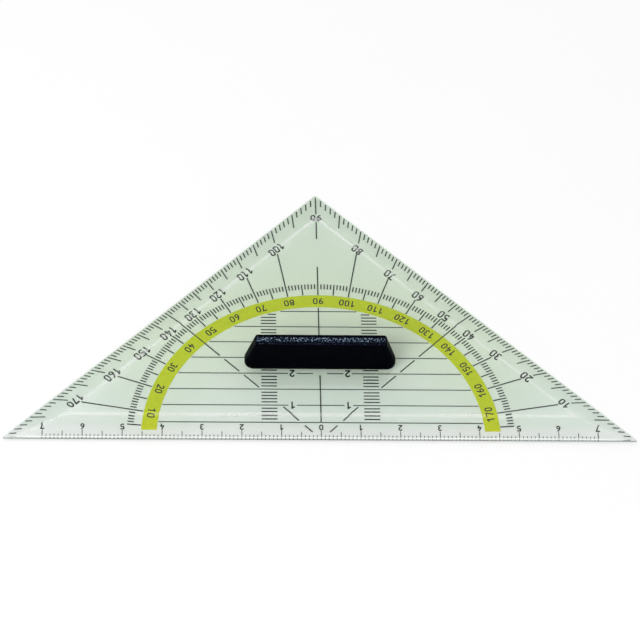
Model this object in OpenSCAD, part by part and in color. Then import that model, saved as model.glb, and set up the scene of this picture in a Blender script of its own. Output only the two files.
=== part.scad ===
// Drafting triangle: clear bevelled plate with a stamped protractor and a plug-in grip.
// Origin: the zero mark, at the middle of the long edge on the underside. +X runs along the long edge,
// +Y towards the right-angled apex and +Z up, away from the paper.

/* [Plate] */
// Length of the long edge, between its sharp corners
edge_l = 160; // [140:1:240]
// Thickness of the flat middle
plate_t = 2.6; // [2:0.1:5]
// Thickness left along the bevelled long edge
edge_rim_t = 1.3; // [0.6:0.1:1.8]
// Thickness left along the two bevelled short edges
leg_rim_t = 0.4; // [0.3:0.1:1.8]
// Width of the bevel on the long edge
edge_bevel_w = 6; // [3:0.2:9]
// Width of the bevel on the two short edges
leg_bevel_w = 6.8; // [3:0.2:9]
// Rounding of the three tips, seen from above
tip_r = 0.2; // [0.1:0.05:0.8]

/* [Grip] */
// Length of the grip's foot, on the plate
grip_foot_l = 38.6; // [36:0.2:50]
// Width of the grip's foot
grip_foot_w = 5.6; // [5:0.1:9]
// Height of the foot's upright sides
grip_foot_h = 0.8; // [0.3:0.1:2]
// Corner rounding of the foot, seen from above
grip_foot_r = 2.4; // [1:0.1:2.5]
// Length of the grip along its top
grip_top_l = 33.6; // [24:0.2:36]
// Width of the grip along its top
grip_top_w = 3.9; // [2.4:0.1:5]
// Rounding of the grip's top edges
grip_top_r = 0.8; // [0.3:0.1:1.2]
// Height of the grip above the plate
grip_h = 8.7; // [5:0.1:14]
// Distance of the grip's middle from the long edge
grip_y = 23.1; // [20:0.1:30]

/* [Pegs] */
// Radius of the pegs under the grip
peg_r = 1.5; // [1:0.1:2]
// Distance of each peg's middle from the end of the foot
peg_end_in = 2.5; // [2.1:0.1:8]
// Clearance of a peg in its hole, all round
peg_clearance = 0.05; // [0.02:0.01:0.1]
// How far the pegs stop short of the underside
peg_tip_gap = 0.4; // [0.1:0.05:0.8]

/* [Print] */
// Depth of the stamped marks in the underside
print_depth = 0.08; // [0.04:0.01:0.2]
// Width of the degree ticks, rays, diagonals and centre line
tick_w = 0.3; // [0.1:0.01:0.4]
// Width of the parallels
line_w = 0.22; // [0.1:0.01:0.3]
// Space left clear between marks that would otherwise meet
mark_gap = 0.15; // [0.1:0.01:0.3]

/* [Long edge scale] */
// Plain end of the long edge, beyond the last centimetre
edge_blank = 10; // [6:1:20]
// Space between the edge and its ticks
edge_inset = 0.15; // [0.05:0.05:0.3]
// Width of the long edge's ticks
edge_tick_w = 0.15; // [0.1:0.01:0.3]
// Length of a millimetre tick
mm_tick_l = 1.05; // [0.8:0.05:1.6]
// Length of a half-centimetre tick
half_tick_l = 2.05; // [1.7:0.05:2.2]
// Length of a centimetre tick
cm_tick_l = 2.35; // [2.1:0.05:2.5]
// Height of the centimetre numerals
edge_num_h = 1.7; // [1.2:0.1:1.9]
// Space between a centimetre tick and its numeral
edge_num_gap = 0.2; // [0.1:0.05:0.4]

/* [Short edge scales] */
// Space between a short edge and its ticks
leg_inset = 0.35; // [0.05:0.05:0.6]
// Length of a one-degree tick
leg_tick_l = 1.75; // [1:0.05:2.6]
// Length of a five-degree tick
leg_long_l = 3.9; // [2.8:0.1:4.4]
// Height of the degree numerals
leg_num_h = 2.2; // [1.6:0.1:2.6]
// Space between the five-degree ticks and the degree numerals
leg_num_gap = 0.85; // [0.2:0.05:1]
// Middle of the apex's numeral, from the apex
apex_num_in = 8.6; // [7:0.1:12]
// Space between the apex and its tick
apex_inset = 0.8; // [0.6:0.1:3]
// Length of each plain line on the right-angle ray
apex_line_l = 5.85; // [3:0.05:7]

/* [Protractor] */
// Space between the protractor and the numerals of the short edges
protractor_gap = 0.25; // [0.1:0.01:3]
// Width of the coloured band
band_w = 3.9; // [3:0.1:5]
// Height above the long edge at which the band ends
band_end_y = 2.6; // [2.5:0.1:4]
// Height of the numerals on the band
band_num_h = 2; // [1.4:0.1:2.4]
// Length of a one-degree tick outside the band
arc_tick_l = 1.6; // [0.8:0.1:2.4]
// Length of a five-degree tick outside the band
arc_long_l = 3.5; // [2.5:0.1:4.5]
// First and last degree marked outside the band, from the long edge
arc_first = 5; // [4:1:9]

/* [Parallels] */
// Height of the numerals on the parallels
parallel_num_h = 2.2; // [1.4:0.1:2.4]
// Distance of those numerals from the centre line
parallel_num_x = 7.1; // [5:0.1:8]
// Half of the gap that a parallel leaves for its numeral
parallel_num_gap = 1.1; // [0.9:0.1:1.4]
// Half of the gap in the second centimetre's parallel and in the centre line
centre_gap = 1.8; // [1:0.1:2.5]
// Half of the gap in a diagonal where a parallel crosses it
diagonal_gap = 0.6; // [0.3:0.1:1]
// Inner end of the ladders' dashes, from the centre line
ladder_x = 11; // [10:0.1:12]
// Length of a ladder's dash
dash_l = 4; // [2:0.1:4]
// Width of a ladder's dash
dash_w = 0.3; // [0.1:0.01:0.4]

/* [Hidden] */

// Half of the long edge, which is also the apex's distance from it
half_l = edge_l / 2;
// Tools run this far past the plate that they cut
overrun = 5;
// Steps in a half circle of a numeral or a tip
half_turn_steps = 8;
peg_hole_r = peg_r + peg_clearance;
peg_x = grip_foot_l / 2 - peg_end_in;
edge_num_y = edge_inset + cm_tick_l + edge_num_gap + edge_num_h / 2;
leg_num_in = leg_inset + leg_long_l + leg_num_gap + leg_num_h / 2;
// A line square to a short edge gains this much of |x| + y for each millimetre of its length
diagonal = sqrt(2);
leg_outer = half_l - diagonal * leg_inset;
// The protractor fills the room that the numerals of the short edges leave
arc_out_r = half_l / diagonal - leg_num_in - leg_num_h / 2 - protractor_gap;
band_out_r = arc_out_r - arc_long_l - mark_gap;
band_r = band_out_r - band_w;
// Room that a numeral needs beside the end of its ray, as a gain of |x| + y
label_room = diagonal * (leg_num_h / 2 + mark_gap);
// The scales are true: their steps are not sizes to choose
cm = 10;
parallel_pitch = cm / 2;
edge_cm = floor((half_l - edge_blank) / cm);
// Marks inside the band keep clear of it
field_r = band_r - mark_gap;
parallel_count = floor((field_r - line_w / 2) / parallel_pitch);
ladder_out_x = ladder_x + dash_l;
numbered_cm = 3;
gapped_cm = 2;
// The diagonals start level with the ends of the half-centimetre ticks
diagonal_low = edge_inset + half_tick_l;

clear_colour = [0.84, 0.91, 0.85, 0.35];
ink_colour = [0.07, 0.12, 0.10];
band_colour = [0.72, 0.76, 0.02];
grip_colour = [0.05, 0.06, 0.08];

// Numerals: pen strokes laid along a path of points
pen_share = 0.165;
half_w_share = 0.22;
pitch_share = 0.74;

function arc_points(c, r, from, to, steps) =
    [for (i = [0:steps]) c + r * [cos(from + (to - from) * i / steps), sin(from + (to - from) * i / steps)]];
function unit(v) = v / norm(v);
function heading(p, i) = unit(p[min(i + 1, len(p) - 1)] - p[min(i, len(p) - 2)]);
function mitre(p, i) =
    let (into = heading(p, max(i - 1, 0)), out = heading(p, i), middle = unit(into + out))
    [-middle.y, middle.x] / (middle * into);
function side(p, offset) = [for (i = [0:len(p) - 1]) p[i] + offset * mitre(p, i)];
function reversed(p) = [for (i = [len(p) - 1:-1:0]) p[i]];

// A pen stroke with square ends along an open path
module stroke(path, pen) {
    polygon(concat(side(path, pen / 2), reversed(side(path, -pen / 2))));
}

// A closed loop of the pen: two half circles of radius r, pulled apart by reach above and below the point c
module ring(c, r, reach, pen) {
    steps = half_turn_steps;
    outer = concat(
        arc_points(c + [0, reach], r + pen / 2, 0, 180, steps),
        arc_points(c - [0, reach], r + pen / 2, 180, 360, steps));
    inner = concat(
        arc_points(c + [0, reach], r - pen / 2, 0, 180, steps),
        arc_points(c - [0, reach], r - pen / 2, 180, 360, steps));
    n = len(outer);
    polygon(concat(outer, inner), [[for (i = [0:n - 1]) i], [for (i = [0:n - 1]) n + i]]);
}

// One upright numeral of height h, centred on the origin
module digit(d, h) {
    pen = pen_share * h;
    half_w = half_w_share * h;
    half_h = (h - pen) / 2;
    steps = half_turn_steps;
    if (d == 0) ring([0, 0], half_w, half_h - half_w, pen);
    if (d == 1) {
        stroke([[half_w / 3, -half_h - pen / 2], [half_w / 3, half_h + pen / 2]], pen);
        stroke([[half_w / 3, half_h], [-half_w, half_h / 2]], pen);
    }
    if (d == 2) {
        stroke(concat(arc_points([0, half_h - half_w], half_w, 165, -35, steps), [[-half_w, -half_h]]), pen);
        stroke([[-half_w - pen / 2, -half_h], [half_w + pen / 2, -half_h]], pen);
    }
    if (d == 3) {
        stroke(arc_points([0, half_h / 2], half_h / 2, 155, -90, steps), pen);
        stroke(arc_points([0, -half_h / 2], half_h / 2, 90, -155, steps), pen);
    }
    if (d == 4) {
        stroke([[half_w / 3, half_h + pen / 2], [-half_w, -half_h / 3]], pen);
        stroke([[-half_w - pen / 2, -half_h / 3], [half_w + pen / 2, -half_h / 3]], pen);
        stroke([[half_w / 2, half_h / 4], [half_w / 2, -half_h - pen / 2]], pen);
    }
    if (d == 5) {
        bowl_r = 0.6 * half_h;
        stroke([[half_w + pen / 2, half_h], [-half_w, half_h], [-half_w, 0]], pen);
        stroke(arc_points([half_w - bowl_r, bowl_r - half_h], bowl_r, 130, -145, steps), pen);
    }
    if (d == 6 || d == 9) rotate(d == 9 ? 180 : 0) {
        sweep_r = 0.75 * h;
        ring([0, half_w - half_h], half_w, 0, pen);
        stroke(arc_points([sweep_r - half_w, half_w - half_h], sweep_r, 180, 120, steps), pen);
    }
    if (d == 7)
        stroke([[-half_w - pen / 2, half_h], [half_w, half_h], [-half_w / 3, -half_h - pen / 2]], pen);
    if (d == 8) {
        upper_r = 0.46 * half_h;
        lower_r = half_h - upper_r;
        ring([0, half_h - upper_r], upper_r, 0, pen);
        ring([0, lower_r - half_h], lower_r, 0, pen);
    }
}

// A whole number, centred on the origin and read along +X
module number(n, h) {
    last = n < 10 ? 0 : n < 100 ? 1 : 2;
    for (i = [0:last])
        translate([(i - last / 2) * pitch_share * h, 0])
            digit(floor(n / pow(10, last - i)) % 10, h);
}

// Distance from the zero mark at which the ray at angle a reaches |x| + y = reach
function ray_r(a, reach) = reach / (abs(cos(a)) + sin(a));
// Length along the ray at angle a of what reaches depth in from a short edge: it is measured square to the
// edge on the half next to the apex, and along the ray on the half next to the long edge
function in_from_leg(a, depth) = abs(90 - a) > 45 ? depth : ray_r(a, diagonal * depth);
// Distance from the zero mark to the middle of the numeral on the ray at angle a
function label_r(a) = ray_r(a, half_l) - in_from_leg(a, leg_num_in);

// A mark along the ray at angle a
module ray_mark(a, from_r, to_r) {
    rotate(a) translate([from_r, -tick_w / 2]) square([to_r - from_r, tick_w]);
}

// An upright mark on the long edge's scale
module edge_mark(x, l) {
    translate([x - edge_tick_w / 2, edge_inset]) square([edge_tick_w, l]);
}

// How far the field inside the band reaches at the height y, or as high at the distance y
function field_end(y) = sqrt(pow(field_r, 2) - pow(y, 2));

// A level mark between two places
module level_mark(from_x, to_x, y, w) {
    translate([from_x, y - w / 2]) square([to_x - from_x, w]);
}

// The same marks on both sides of the centre line
module both_sides() {
    children();
    mirror([1, 0]) children();
}

module at_pegs() {
    for (x = [-peg_x, peg_x]) translate([x, grip_y]) children();
}

// Marks that give way to the peg holes
module clear_of_pegs() {
    difference() {
        children();
        at_pegs() circle(peg_hole_r + mark_gap, $fn = 48);
    }
}

// Room around the centimetre numerals, which the protractor leaves free
module edge_numeral_room() {
    for (i = [-edge_cm:edge_cm])
        translate([i * cm, edge_num_y])
            square([pitch_share * edge_num_h, edge_num_h] + 2 * [mark_gap, mark_gap], center = true);
}

module band_plan() {
    difference() {
        intersection() {
            circle(band_out_r, $fn = 256);
            translate([-band_out_r, band_end_y]) square([2 * band_out_r, band_out_r]);
        }
        circle(band_r, $fn = 256);
        edge_numeral_room();
    }
}

module band_numerals_plan() {
    for (a = [10:10:170])
        rotate(a) translate([band_r + band_w / 2, 0]) rotate(90) number(180 - a, band_num_h);
}

module arc_ticks_plan() {
    difference() {
        for (a = [arc_first:180 - arc_first])
            if (a % 10 != 0 && a % 90 != 45)
                ray_mark(a, arc_out_r - (a % 5 == 0 ? arc_long_l : arc_tick_l), arc_out_r);
        edge_numeral_room();
    }
}

module degree_rays_plan() {
    for (a = [10:10:170])
        if (a != 90) ray_mark(a, band_out_r + mark_gap, label_r(a) - ray_r(a, label_room));
    ray_mark(90, band_out_r + mark_gap, arc_out_r + apex_line_l);
}

module diagonals_plan() {
    pitch = parallel_pitch;
    gap = diagonal_gap;
    dashes = [
        [5 * pitch + gap, leg_outer / 2],
        [4 * pitch + gap, 5 * pitch - gap],
        [ladder_out_x + gap, 4 * pitch - gap],
        [pitch + gap, ladder_x - 2.5 * gap],
        [diagonal_low, pitch - 1.5 * gap],
    ];
    both_sides()
        for (d = dashes)
            ray_mark(45, diagonal * d[0], diagonal * d[1]);
}

// Right half of the parallel at height y, from the centre line out to the band
module half_parallel(y) {
    end_x = field_end(y + line_w / 2);
    start_x = y == gapped_cm * cm ? centre_gap : tick_w / 2;
    numbered = y % cm == 0 && y <= numbered_cm * cm;
    if (numbered) {
        level_mark(start_x, parallel_num_x - parallel_num_gap, y, line_w);
        level_mark(parallel_num_x + parallel_num_gap, end_x, y, line_w);
    } else {
        level_mark(start_x, end_x, y, line_w);
    }
}

module parallels_plan() {
    clear_of_pegs() both_sides() for (i = [1:parallel_count]) half_parallel(i * parallel_pitch);
}

module parallel_numerals_plan() {
    for (i = [1:numbered_cm], x = [-parallel_num_x, parallel_num_x])
        translate([x, i * cm]) rotate(180) number(i, parallel_num_h);
}

module centre_line_plan() {
    gap_y = gapped_cm * cm;
    ray_mark(90, parallel_pitch, gap_y - centre_gap / 3);
    ray_mark(90, gap_y + centre_gap, field_r);
}

// Right ladder: a dash at each millimetre between the parallels, cut short at the band
module ladder_plan() {
    last = floor(field_end(ladder_x) - dash_w);
    clear_of_pegs()
        for (y = [parallel_pitch:last])
            if (y % parallel_pitch != 0)
                level_mark(ladder_x, min(ladder_out_x, field_end(y + dash_w / 2)), y, dash_w);
}

module edge_ticks_plan() {
    for (x = [-edge_cm * cm:edge_cm * cm])
        edge_mark(x, x % 10 == 0 ? cm_tick_l : x % 5 == 0 ? half_tick_l : mm_tick_l);
}

module edge_numerals_plan() {
    for (i = [-edge_cm:edge_cm]) translate([i * cm, edge_num_y]) rotate(180) number(abs(i), edge_num_h);
}

// Degree ticks of the short edge that faces the angles from first to last
module leg_ticks_plan(first, last) {
    for (a = [first:last])
        if (a % 90 != 45)
            ray_mark(a, ray_r(a, leg_outer) - in_from_leg(a, a % 5 == 0 ? leg_long_l : leg_tick_l),
                ray_r(a, leg_outer));
}

// Degree numerals of one short edge, read along the direction turn
module leg_numerals_plan(first, last, turn) {
    for (a = [first:10:last])
        rotate(a) translate([label_r(a), 0]) rotate(turn - a) number(a, leg_num_h);
}

module apex_mark_plan() {
    label_y = half_l - apex_num_in;
    clear_h = leg_num_h / 2 + mark_gap;
    ray_mark(90, label_y + clear_h, half_l - apex_inset);
    translate([0, label_y]) rotate(180) number(90, leg_num_h);
    ray_mark(90, label_y - clear_h - apex_line_l, label_y - clear_h);
}

// Everything that is stamped into the underside
module print_plan() {
    band_plan();
    arc_ticks_plan();
    degree_rays_plan();
    diagonals_plan();
    parallels_plan();
    parallel_numerals_plan();
    centre_line_plan();
    both_sides() ladder_plan();
    edge_ticks_plan();
    edge_numerals_plan();
    leg_ticks_plan(1, 89);
    leg_ticks_plan(91, 179);
    leg_numerals_plan(10, 80, 135);
    leg_numerals_plan(100, 170, 225);
    apex_mark_plan();
}

// A layer of ink that fills its marks
module stamped(colour) {
    color(colour) linear_extrude(print_depth) children();
}

// Removes what lies above a bevel that starts on the X axis, rim above it, and rises over w towards +Y
module bevel_cut(w, rim) {
    rise = (plate_t - rim) / w;
    rotate([90, 0, 90])
        linear_extrude(2 * edge_l, center = true)
            polygon([
                [-overrun, rim - overrun * rise],
                [w + overrun, plate_t + overrun * rise],
                [-overrun, plate_t + overrun],
            ]);
}

// Outline of the plate, with its three tips rounded
module plate_plan() {
    base_in = tip_r / tan(22.5);
    steps = half_turn_steps;
    polygon(concat(
        arc_points([half_l - base_in, tip_r], tip_r, -90, 45, steps),
        arc_points([0, half_l - diagonal * tip_r], tip_r, 45, 135, steps),
        arc_points([base_in - half_l, tip_r], tip_r, 135, 270, steps)));
}

module plate() {
    color(clear_colour) difference() {
        linear_extrude(plate_t) plate_plan();
        bevel_cut(edge_bevel_w, edge_rim_t);
        translate([half_l, 0]) rotate(135) bevel_cut(leg_bevel_w, leg_rim_t);
        translate([0, half_l]) rotate(225) bevel_cut(leg_bevel_w, leg_rim_t);
        at_pegs() translate([0, 0, -overrun]) cylinder(h = plate_t + 2 * overrun, r = peg_hole_r, $fn = 48);
        translate([0, 0, -print_depth]) linear_extrude(2 * print_depth) print_plan();
    }
}

module grip() {
    foot_x = grip_foot_l / 2 - grip_foot_r;
    foot_y = grip_foot_w / 2 - grip_foot_r;
    top_x = grip_top_l / 2 - grip_top_r;
    top_y = grip_top_w / 2 - grip_top_r;
    color(grip_colour) {
        translate([0, grip_y, plate_t]) hull() {
            for (x = [-foot_x, foot_x], y = [-foot_y, foot_y])
                translate([x, y, 0]) cylinder(h = grip_foot_h, r = grip_foot_r, $fn = 32);
            for (x = [-top_x, top_x], y = [-top_y, top_y])
                translate([x, y, grip_h - grip_top_r]) sphere(r = grip_top_r, $fn = 32);
        }
        at_pegs() translate([0, 0, peg_tip_gap])
            cylinder(h = plate_t - peg_tip_gap + grip_foot_h / 2, r = peg_r, $fn = 48);
    }
}

module protractor_band() {
    stamped(band_colour) difference() {
        band_plan();
        band_numerals_plan();
        diagonals_plan();
    }
}
module band_numerals() { stamped(ink_colour) band_numerals_plan(); }
module arc_ticks() { stamped(ink_colour) arc_ticks_plan(); }
module degree_rays() { stamped(ink_colour) degree_rays_plan(); }
module diagonals() { stamped(ink_colour) diagonals_plan(); }
module parallels() { stamped(ink_colour) parallels_plan(); }
module parallel_numerals() { stamped(ink_colour) parallel_numerals_plan(); }
module centre_line() { stamped(ink_colour) centre_line_plan(); }
module left_ladder() { stamped(ink_colour) mirror([1, 0]) ladder_plan(); }
module right_ladder() { stamped(ink_colour) ladder_plan(); }
module edge_ticks() { stamped(ink_colour) edge_ticks_plan(); }
module edge_numerals() { stamped(ink_colour) edge_numerals_plan(); }
module left_leg_ticks() { stamped(ink_colour) leg_ticks_plan(91, 179); }
module right_leg_ticks() { stamped(ink_colour) leg_ticks_plan(1, 89); }
module left_leg_numerals() { stamped(ink_colour) leg_numerals_plan(100, 170, 225); }
module right_leg_numerals() { stamped(ink_colour) leg_numerals_plan(10, 80, 135); }
module apex_mark() { stamped(ink_colour) apex_mark_plan(); }

plate();
grip();
protractor_band();
band_numerals();
arc_ticks();
degree_rays();
diagonals();
parallels();
parallel_numerals();
centre_line();
left_ladder();
right_ladder();
edge_ticks();
edge_numerals();
left_leg_ticks();
right_leg_ticks();
left_leg_numerals();
right_leg_numerals();
apex_mark();
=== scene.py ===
"""The drafting triangle's looks: a clear bevelled plate, stamped inks and a grained grip on a white table."""

import math

import bmesh
import bpy
from mathutils import Matrix, Vector


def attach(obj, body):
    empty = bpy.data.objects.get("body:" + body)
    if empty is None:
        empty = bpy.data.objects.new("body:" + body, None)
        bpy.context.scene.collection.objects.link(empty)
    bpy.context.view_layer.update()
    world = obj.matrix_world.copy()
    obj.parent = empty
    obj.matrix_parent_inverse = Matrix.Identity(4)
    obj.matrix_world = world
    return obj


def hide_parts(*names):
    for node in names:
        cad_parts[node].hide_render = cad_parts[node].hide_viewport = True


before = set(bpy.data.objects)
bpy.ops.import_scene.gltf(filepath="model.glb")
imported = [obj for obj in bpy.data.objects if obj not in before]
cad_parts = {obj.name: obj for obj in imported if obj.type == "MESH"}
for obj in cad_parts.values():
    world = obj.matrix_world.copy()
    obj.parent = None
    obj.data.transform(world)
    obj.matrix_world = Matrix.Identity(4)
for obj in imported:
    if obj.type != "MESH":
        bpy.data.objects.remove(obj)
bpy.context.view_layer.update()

MM = 0.001
scene = bpy.context.scene

# Plate, in millimetres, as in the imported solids
HALF_L = 80.0
PLATE_T = 2.6
EDGE_RIM_T = 1.3
LEG_RIM_T = 0.4
EDGE_BEVEL_W = 6.0
LEG_BEVEL_W = 6.8
TIP_R = 0.2
TIP_STEPS = 4
# The clear mesh starts this far above the ink's lower face, so that the two don't share a plane
PLATE_LIFT = 0.01
CREASE_W = 0.5
CREASE_STEPS = 4
# A cut this near to a corner goes through it
SNAP = 0.001
# The part of the front edge that its tool left clear
FRONT_CLEAR_Z = 0.9

# Grip, in millimetres: length, width and corner radius of its foot and its top
FOOT = (38.6, 5.6, 2.4)
TOP = (33.6, 3.9, 0.8)
GRIP_Y = 23.1
GRIP_H = 8.7
FOOT_H = 0.8
SIDE_STEPS = 6
ROLL_STEPS = 6
CORNER_STEPS = 10
# The top's corners close to a point: a radius under the weld's distance
POINT_R = 0.001
WELD = 0.005
PEG_X = 16.8
PEG_R = 1.5
PEG_HOLE_R = 1.55
PEG_TIP_GAP = 0.4
PEG_ROOT = 0.2

# Stage and light
FLOOR_HALF = 2000.0
FLOOR_Z = -0.02
SKY_STRENGTH = 0.87
LAMP_PLACE = (-0.7, -0.7, 0.9)
LAMP_TARGET = (0.0, 0.03, 0.0)
LAMP_SIZE = 0.7
LAMP_WATTS = 6.0

# Camera, as fitted to the photo's scales: metres and degrees
CAMERA_PLACE = (-0.03043, -0.39951, 0.56909)
CAMERA_HEADING = -4.034
CAMERA_TILT = 37.628
CAMERA_ROLL = 3.601
LENS_MM = 155.62
SENSOR_MM = 36.0
CLIP_NEAR = 0.01
CLIP_FAR = 20.0

ACRYLIC_IOR = 1.49
BLACK = (0.0, 0.0, 0.0)
WHITE = (1.0, 1.0, 1.0)


def grey(value):
    return (value, value, value)


def new_material(name):
    """An empty node material, with its nodes and links."""
    mat = bpy.data.materials.new(name)
    mat.use_nodes = True
    tree = mat.node_tree
    tree.nodes.clear()
    return mat, tree.nodes, tree.links


def noise(nodes, links, scale, detail=3.0):
    """Noise in object space, so that it stays with the piece."""
    coord = nodes.new("ShaderNodeTexCoord")
    tex = nodes.new("ShaderNodeTexNoise")
    tex.inputs["Scale"].default_value = scale
    tex.inputs["Detail"].default_value = detail
    links.new(coord.outputs["Object"], tex.inputs["Vector"])
    return tex.outputs["Fac"]


def along_axis(nodes, links, source, axis):
    """One axis of the object's coordinates or of its normal."""
    coord = nodes.new("ShaderNodeTexCoord")
    split = nodes.new("ShaderNodeSeparateXYZ")
    links.new(coord.outputs[source], split.inputs["Vector"])
    return split.outputs[axis]


def map_range(nodes, links, value, low, high, top=1.0):
    """The value from 0 at low to top at high, both in metres."""
    node = nodes.new("ShaderNodeMapRange")
    node.inputs["From Min"].default_value = low
    node.inputs["From Max"].default_value = high
    node.inputs["To Max"].default_value = top
    links.new(value, node.inputs["Value"])
    return node.outputs["Result"]


def ramp(nodes, links, source, stops):
    """Colours along a value: stops are (place, colour) pairs."""
    node = nodes.new("ShaderNodeValToRGB")
    elements = node.color_ramp.elements
    while len(elements) < len(stops):
        elements.new(0.5)
    for element, (place, colour) in zip(elements, stops):
        element.position = place
        element.color = (*colour, 1.0)
    links.new(source, node.inputs["Fac"])
    return node.outputs["Color"]


def math_node(nodes, links, operation, first, second):
    node = nodes.new("ShaderNodeMath")
    node.operation = operation
    links.new(first, node.inputs[0])
    links.new(second, node.inputs[1])
    return node.outputs["Value"]


def coloured(nodes, links, kind, colour):
    """A plain shader of one kind, with its colour from a socket."""
    shader = nodes.new(kind)
    links.new(colour, shader.inputs["Color"])
    return shader.outputs["BSDF"]


def clear_plastic(nodes, links, colour, roughness):
    """Acrylic that light goes through."""
    shader = nodes.new("ShaderNodeBsdfPrincipled")
    shader.inputs["Transmission Weight"].default_value = 1.0
    shader.inputs["IOR"].default_value = ACRYLIC_IOR
    shader.inputs["Roughness"].default_value = roughness
    links.new(colour, shader.inputs["Base Color"])
    return shader.outputs["BSDF"]


def mix_shaders(nodes, links, share, first, second):
    """The first shader with a share of the second. The share is a number or a socket."""
    mix = nodes.new("ShaderNodeMixShader")
    if isinstance(share, float):
        mix.inputs["Fac"].default_value = share
    else:
        links.new(share, mix.inputs["Fac"])
    links.new(first, mix.inputs[1])
    links.new(second, mix.inputs[2])
    return mix.outputs["Shader"]


def surface(nodes, links, shader):
    out = nodes.new("ShaderNodeOutputMaterial")
    links.new(shader, out.inputs["Surface"])


def lamp_lit(nodes, links, shader, tint):
    """The shader, with shadow rays let straight through, so that lamps light what lies below."""
    through = coloured(nodes, links, "ShaderNodeBsdfTransparent", tint)
    path = nodes.new("ShaderNodeLightPath")
    surface(nodes, links, mix_shaders(nodes, links, path.outputs["Is Shadow Ray"], shader, through))


def plate_tint(nodes, links):
    """A faint green that deepens from the long edge towards the apex."""
    depth = map_range(nodes, links, along_axis(nodes, links, "Object", "Y"), 0.0, HALF_L * MM)
    return ramp(nodes, links, depth, [
        (0.0, (0.872, 0.890, 0.881)),
        (0.025, (0.854, 0.886, 0.863)),
        (0.045, (0.748, 0.828, 0.760)),
        (0.12, (0.737, 0.837, 0.756)),
        (0.4, (0.746, 0.850, 0.703)),
        (1.0, (0.659, 0.774, 0.654)),
    ])


def clear_acrylic():
    """Clear plastic, polished."""
    mat, nodes, links = new_material("clear_acrylic")
    tint = plate_tint(nodes, links)
    lamp_lit(nodes, links, clear_plastic(nodes, links, tint, 0.0), tint)
    return mat


def touching_underside():
    """The face that lies on the paper: light goes straight through it, as through two faces in contact."""
    mat, nodes, links = new_material("touching_underside")
    tone = ramp(nodes, links, noise(nodes, links, 40.0), [(0.3, (0.985, 0.995, 0.985)), (0.7, WHITE)])
    surface(nodes, links, coloured(nodes, links, "ShaderNodeBsdfTransparent", tone))
    return mat


def frosted(name, scale, share, matt_share, clear_z=None, patchy=False):
    """Clear plastic left matt by a tool, so that a share of the light scatters. Below clear_z, if that is
    given, it is left clear, with a painted shadow along its foot. Where it is patchy, the share comes and
    goes."""
    mat, nodes, links = new_material(name)
    marks = noise(nodes, links, scale)
    tone = ramp(nodes, links, marks, [(0.3, (0.92, 0.96, 0.92)), (0.7, (0.96, 0.98, 0.96))])
    inside = coloured(nodes, links, "ShaderNodeBsdfTranslucent", tone)
    outside = coloured(nodes, links, "ShaderNodeBsdfDiffuse", tone)
    scatter = mix_shaders(nodes, links, matt_share, inside, outside)
    clear_tone = tone
    if patchy:
        share = ramp(nodes, links, marks, [(0.4, grey(0.02)), (0.62, grey(share))])
    if clear_z is not None:
        z = along_axis(nodes, links, "Object", "Z")
        height = map_range(nodes, links, z, 0.0, clear_z * MM)
        # Painted shadow: the glass colour turns near black along the lowest part of the edge, where it meets
        # the table
        clear_tone = ramp(nodes, links, height, [(0.42, (0.05, 0.07, 0.06)), (0.54, (0.90, 0.96, 0.93))])
        share = map_range(nodes, links, z, 0.9 * clear_z * MM, 1.1 * clear_z * MM, share)
    glass = clear_plastic(nodes, links, clear_tone, 0.05)
    lamp_lit(nodes, links, mix_shaders(nodes, links, share, glass, scatter), tone)
    return mat


def ink(name, dark, light):
    """Stamped ink with a slightly uneven coat."""
    mat, nodes, links = new_material(name)
    coat = noise(nodes, links, 900.0)
    paint = nodes.new("ShaderNodeBsdfPrincipled")
    paint.inputs["Roughness"].default_value = 0.6
    paint.inputs["Specular IOR Level"].default_value = 0.02
    links.new(ramp(nodes, links, coat, [(0.3, dark), (0.7, light)]), paint.inputs["Base Color"])
    surface(nodes, links, paint.outputs["BSDF"])
    return mat


def grip_plastic():
    """Blue-black moulded plastic, with painted highlights: glints painted into its colour in specks along the
    back half of the top, and faintly along the top's front edge."""
    mat, nodes, links = new_material("grip_plastic")
    # Painted highlight: these masks pick where glints are painted on the up-facing top
    facing = along_axis(nodes, links, "Normal", "Z")
    upward = ramp(nodes, links, facing, [(0.75, BLACK), (0.98, WHITE)])
    half_w = TOP[1] / 2
    y = along_axis(nodes, links, "Object", "Y")
    across = map_range(nodes, links, y, (GRIP_Y - half_w) * MM, (GRIP_Y + half_w) * MM)
    painted_glint_strips = ramp(nodes, links, across, [
        (0.08, BLACK), (0.15, grey(0.35)), (0.24, grey(0.03)),
        (0.45, grey(0.9)), (0.62, grey(0.9)), (0.74, BLACK)])
    specks = ramp(nodes, links, noise(nodes, links, 2400.0, 2.0), [(0.47, BLACK), (0.7, WHITE)])
    lit = math_node(nodes, links, "MULTIPLY", upward, painted_glint_strips)
    painted_glint = math_node(nodes, links, "MULTIPLY", lit, specks)
    # Painted highlight: the glint masks turn the near-black plastic navy and then blue-white
    colours = ramp(nodes, links, painted_glint, [
        (0.0, (0.0008, 0.001, 0.0022)), (0.15, (0.010, 0.02, 0.04)), (1.0, (0.36, 0.46, 0.60))])
    plastic = nodes.new("ShaderNodeBsdfPrincipled")
    plastic.inputs["Roughness"].default_value = 0.4
    plastic.inputs["Specular IOR Level"].default_value = 0.012
    links.new(colours, plastic.inputs["Base Color"])
    grain = nodes.new("ShaderNodeBump")
    grain.inputs["Strength"].default_value = 0.3
    grain.inputs["Distance"].default_value = 0.0001
    links.new(noise(nodes, links, 2600.0, 2.0), grain.inputs["Height"])
    links.new(grain.outputs["Normal"], plastic.inputs["Normal"])
    surface(nodes, links, plastic.outputs["BSDF"])
    return mat


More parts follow.
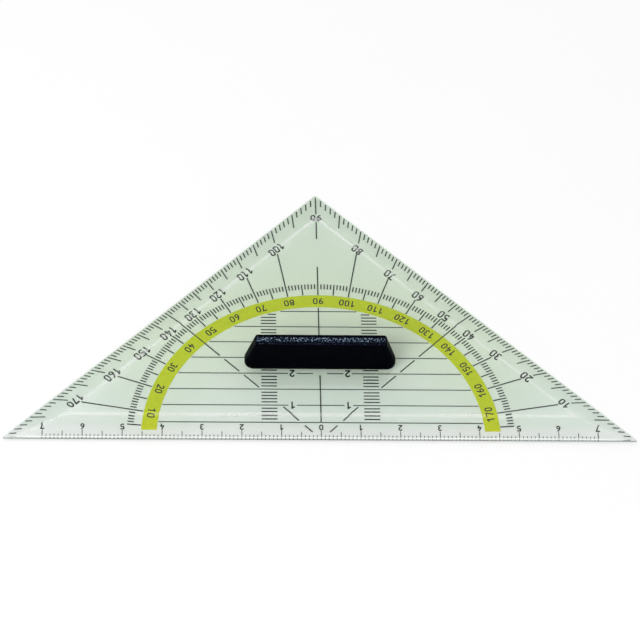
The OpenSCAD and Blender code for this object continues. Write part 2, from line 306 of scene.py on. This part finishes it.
def floor_white():
    """Plain white table."""
    mat, nodes, links = new_material("floor_white")
    tone = ramp(nodes, links, noise(nodes, links, 30.0), [(0.0, grey(0.93)), (1.0, grey(0.94))])
    surface(nodes, links, coloured(nodes, links, "ShaderNodeBsdfDiffuse", tone))
    return mat


def mesh_object(name, bm, mat):
    """A mesh in millimetres, turned into a shaded object in the row frame."""
    bmesh.ops.scale(bm, vec=(MM, MM, MM), verts=bm.verts)
    bmesh.ops.recalc_face_normals(bm, faces=bm.faces)
    mesh = bpy.data.meshes.new(name)
    bm.to_mesh(mesh)
    bm.free()
    mesh.materials.append(mat)
    obj = bpy.data.objects.new(name, mesh)
    scene.collection.objects.link(obj)
    return obj


def settle(obj):
    """Makes the modifiers' result the object's own mesh."""
    bpy.context.view_layer.update()
    graph = bpy.context.evaluated_depsgraph_get()
    mesh = bpy.data.meshes.new_from_object(obj.evaluated_get(graph))
    obj.modifiers.clear()
    obj.data = mesh


def ring_faces(bm, low, high):
    """Faces between two rings of as many vertices."""
    for i in range(len(low)):
        j = (i + 1) % len(low)
        bm.faces.new((low[i], low[j], high[j], high[i]))


def peg_cylinder(bm, side, low_z, high_z, radius, segments):
    """An upright cylinder on the axis of one peg: side is -1 or 1."""
    place = Matrix.Translation((side * PEG_X, GRIP_Y, (low_z + high_z) / 2))
    bmesh.ops.create_cone(
        bm, cap_ends=True, segments=segments, radius1=radius, radius2=radius, depth=high_z - low_z,
        matrix=place)


def plate_outline():
    """Plan of the plate, counter-clockwise, with its three tips rounded."""
    base_in = TIP_R / math.tan(math.radians(22.5))
    tips = (
        (HALF_L - base_in, TIP_R, -90.0, 45.0),
        (0.0, HALF_L - math.sqrt(2) * TIP_R, 45.0, 135.0),
        (base_in - HALF_L, TIP_R, 135.0, 270.0))
    points = []
    for x, y, first, last in tips:
        for i in range(TIP_STEPS + 1):
            a = math.radians(first + (last - first) * i / TIP_STEPS)
            points.append((x + TIP_R * math.cos(a), y + TIP_R * math.sin(a)))
    return points


def bevel_plate(bm):
    """Cuts the three bevels from the top of the prism."""
    leg = math.sqrt(0.5)
    bevels = (
        ((0.0, 0.0), (0.0, 1.0), EDGE_BEVEL_W, EDGE_RIM_T),
        ((HALF_L, 0.0), (-leg, -leg), LEG_BEVEL_W, LEG_RIM_T),
        ((-HALF_L, 0.0), (leg, -leg), LEG_BEVEL_W, LEG_RIM_T))
    for place, inward, width, rim_t in bevels:
        rise = PLATE_T - rim_t
        bmesh.ops.bisect_plane(
            bm, geom=[*bm.verts, *bm.edges, *bm.faces], clear_outer=True, dist=SNAP,
            plane_co=(*place, rim_t), plane_no=(-inward[0] * rise, -inward[1] * rise, width))
        bmesh.ops.holes_fill(bm, edges=bm.edges[:], sides=0)


def crease_weight(edge):
    """How broad an edge is worn, as a share of the broadest: most along the flat's outline."""
    facing = sorted(face.normal.z for face in edge.link_faces)
    if facing[0] < 0.5:
        return 0.1 if abs(facing[1]) > 0.5 else 0.0
    if facing[1] > 0.999:
        return 1.0
    return 0.5 if max(abs(v.co.x) for v in edge.verts) > 1.0 else 0.0


def cut_peg_holes(obj, mat):
    """Cuts the two peg holes, once the creases are in."""
    cutters = []
    for side in (-1, 1):
        hole = bmesh.new()
        peg_cylinder(hole, side, -PLATE_T, 2 * PLATE_T, PEG_HOLE_R, 64)
        cutter = mesh_object("peg_hole", hole, mat)
        cut = obj.modifiers.new("hole", "BOOLEAN")
        cut.operation = "DIFFERENCE"
        cut.solver = "EXACT"
        cut.object = cutter
        cutters.append(cutter)
    settle(obj)
    for cutter in cutters:
        bpy.data.objects.remove(cutter)


def plate_mesh(flat, leg, crease, front, under):
    """The plate with soft creases, matt upright edges and the two peg holes, from its five materials."""
    bm = bmesh.new()
    outline = plate_outline()
    low = [bm.verts.new((*p, PLATE_LIFT)) for p in outline]
    high = [bm.verts.new((*p, PLATE_T)) for p in outline]
    bm.faces.new(low[::-1])
    bm.faces.new(high)
    ring_faces(bm, low, high)
    bevel_plate(bm)
    bmesh.ops.recalc_face_normals(bm, faces=bm.faces)
    weights = bm.edges.layers.float.new("bevel_weight_edge")
    for edge in bm.edges:
        edge[weights] = crease_weight(edge)
    obj = mesh_object("plate_clear", bm, flat)
    materials = [flat, leg, crease, front, under]
    for mat in materials[1:]:
        obj.data.materials.append(mat)
    for polygon in obj.data.polygons:
        polygon.use_smooth = True
        if abs(polygon.normal.z) < 0.5:
            polygon.material_index = materials.index(front if polygon.normal.y < 0 else leg)
        elif polygon.normal.z < 0:
            polygon.material_index = materials.index(under)
    bevel = obj.modifiers.new("broken_edges", "BEVEL")
    bevel.limit_method = "WEIGHT"
    bevel.width = CREASE_W * MM
    bevel.segments = CREASE_STEPS
    bevel.material = materials.index(crease)
    bevel.harden_normals = True
    bevel.use_clamp_overlap = False
    cut_peg_holes(obj, flat)
    return obj


def rounded_loop(length, width, radius):
    """Points round a rounded rectangle, counter-clockwise."""
    points = []
    for quarter, (sx, sy) in enumerate(((1, 1), (-1, 1), (-1, -1), (1, -1))):
        cx = sx * (length / 2 - radius)
        cy = sy * (width / 2 - radius)
        for i in range(CORNER_STEPS + 1):
            a = math.radians(90 * quarter + 90 * i / CORNER_STEPS)
            points.append((cx + radius * math.cos(a), cy + radius * math.sin(a)))
    return points


def grip_levels():
    """Length, width, corner radius and height of the grip's rings, from its foot to its top."""
    top_l, top_w, roll = TOP
    shoulder_z = GRIP_H - roll
    foot = (*FOOT, FOOT_H)
    shoulder = (*TOP, shoulder_z)
    levels = [(*FOOT, 0.0), foot]
    for i in range(1, SIDE_STEPS + 1):
        levels.append(tuple(a + (b - a) * i / SIDE_STEPS for a, b in zip(foot, shoulder)))
    for i in range(1, ROLL_STEPS + 1):
        a = math.radians(90 * i / ROLL_STEPS)
        inward = roll * (1 - math.cos(a))
        levels.append((
            top_l - 2 * inward, top_w - 2 * inward, max(roll - inward, POINT_R),
            shoulder_z + roll * math.sin(a)))
    return levels


def grip_mesh(mat):
    """The grip: an upright foot, sloping sides, a rolled top edge and two pegs below."""
    bm = bmesh.new()
    rings = []
    for length, width, radius, z in grip_levels():
        loop = rounded_loop(length, width, radius)
        rings.append([bm.verts.new((x, GRIP_Y + y, PLATE_T + z)) for x, y in loop])
    for low, high in zip(rings, rings[1:]):
        ring_faces(bm, low, high)
    bm.faces.new(rings[0][::-1])
    bm.faces.new(rings[-1])
    for face in bm.faces:
        face.smooth = len(face.verts) == 4
    bmesh.ops.remove_doubles(bm, verts=bm.verts, dist=WELD)
    for side in (-1, 1):
        peg_cylinder(bm, side, PEG_TIP_GAP, PLATE_T + PEG_ROOT, PEG_R, 48)
    return mesh_object("grip_bar", bm, mat)


def studio_world():
    """White all round, at full strength where it is seen, mirrored or seen through, and less as light."""
    world = bpy.data.worlds.new("studio")
    world.use_nodes = True
    nodes, links = world.node_tree.nodes, world.node_tree.links
    nodes.clear()
    shaders = []
    for strength in (SKY_STRENGTH, 1.0):
        background = nodes.new("ShaderNodeBackground")
        background.inputs["Color"].default_value = (*WHITE, 1.0)
        background.inputs["Strength"].default_value = strength
        shaders.append(background.outputs["Background"])
    rays = nodes.new("ShaderNodeLightPath")
    seen = rays.outputs["Is Camera Ray"]
    for kind in ("Is Glossy Ray", "Is Transmission Ray"):
        seen = math_node(nodes, links, "MAXIMUM", seen, rays.outputs[kind])
    out = nodes.new("ShaderNodeOutputWorld")
    links.new(mix_shaders(nodes, links, seen, *shaders), out.inputs["Surface"])
    return world


def softbox(name, place, target, size, watts):
    lamp = bpy.data.lights.new(name, "AREA")
    lamp.shape = "SQUARE"
    lamp.size = size
    lamp.energy = watts
    obj = bpy.data.objects.new(name, lamp)
    obj.location = place
    obj.rotation_mode = "QUATERNION"
    obj.rotation_quaternion = (Vector(target) - Vector(place)).to_track_quat("-Z", "Y")
    scene.collection.objects.link(obj)


def turn(degrees, axis):
    return Matrix.Rotation(math.radians(degrees), 4, axis)


# Pieces
acrylic = clear_acrylic()
black_ink = ink("black_ink", (0.004, 0.012, 0.008), (0.010, 0.020, 0.014))
lime_ink = ink("lime_ink", (0.63, 0.67, 0.0), (0.69, 0.73, 0.001))
grip_black = grip_plastic()

plate = plate_mesh(
    acrylic,
    frosted("sawn_leg_edge", 1500.0, 0.8, 0.5),
    frosted("worn_crease", 90.0, 0.3, 0.5, patchy=True),
    # The front edge carries a painted shadow along its foot
    frosted("milled_front_edge", 1500.0, 0.95, 0.95, clear_z=FRONT_CLEAR_Z),
    touching_underside())
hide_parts("plate")
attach(plate, "plate")

grip = grip_mesh(grip_black)
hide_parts("grip")
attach(grip, "grip")

for name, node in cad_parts.items():
    if name in ("plate", "grip"):
        continue
    node.data.materials.clear()
    node.data.materials.append(lime_ink if name == "protractor_band" else black_ink)

# Table, light and camera
table = bmesh.new()
bmesh.ops.create_grid(
    table, x_segments=1, y_segments=1, size=FLOOR_HALF, matrix=Matrix.Translation((0, 0, FLOOR_Z)))
floor = mesh_object("floor", table, floor_white())

scene.world = studio_world()
softbox("front_left", LAMP_PLACE, LAMP_TARGET, LAMP_SIZE, LAMP_WATTS)

lens = bpy.data.cameras.new("camera")
lens.sensor_width = SENSOR_MM
lens.lens = LENS_MM
lens.clip_start = CLIP_NEAR
lens.clip_end = CLIP_FAR
camera = bpy.data.objects.new("camera", lens)
camera.matrix_world = (
    Matrix.Translation(CAMERA_PLACE)
    @ turn(CAMERA_HEADING, "Z") @ turn(CAMERA_TILT, "X") @ turn(CAMERA_ROLL, "Z"))
scene.collection.objects.link(camera)
scene.camera = camera
scene.view_settings.view_transform = "Standard"
